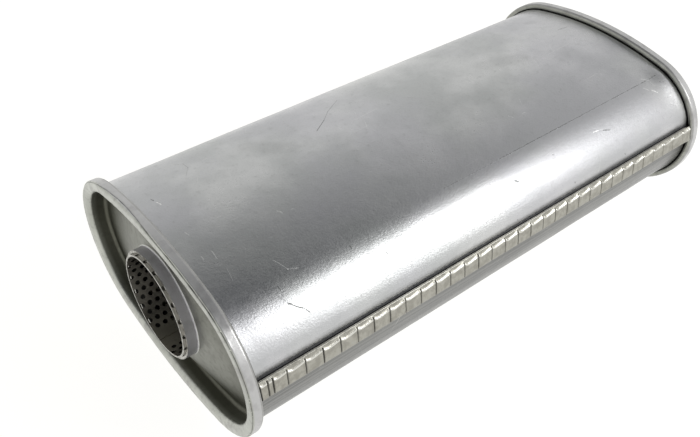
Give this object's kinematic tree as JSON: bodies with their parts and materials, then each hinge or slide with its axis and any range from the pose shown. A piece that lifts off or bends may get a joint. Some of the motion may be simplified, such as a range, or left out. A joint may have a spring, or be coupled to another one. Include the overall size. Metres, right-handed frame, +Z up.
{
  "type": "muffler",
  "caption": "Oval straight-through exhaust muffler: lock-seamed steel shell, rolled end caps with centre necks, and a perforated tube from end to end inside packing.",
  "frame": {"origin": "middle of the perforated tube, on its axis, half way between the two mouths", "axes": "+X along the tube from the inlet to the outlet, +Y the wide way of the oval away from the lock seam, +Z up, the narrow way of the oval"},
  "size_m": [0.3816, 0.1878, 0.1102],
  "materials": {
    "shell_steel": "aluminised sheet, satin, lightly scratched",
    "cap_steel": "aluminised sheet, satin, drawn and rolled",
    "tube_steel": "punched sheet, dull, bright at its cut edges",
    "steel_wool": "loose stainless wool",
    "packing_fibre": "loose glass fibre"
  },
  "bodies": {
    "root": {"outer_shell": "shell_steel", "inlet_end_cap": "cap_steel", "outlet_end_cap": "cap_steel", "perforated_tube": "tube_steel", "wool_sleeve": "steel_wool", "packing": "packing_fibre"}
  },
  "joints": []
}
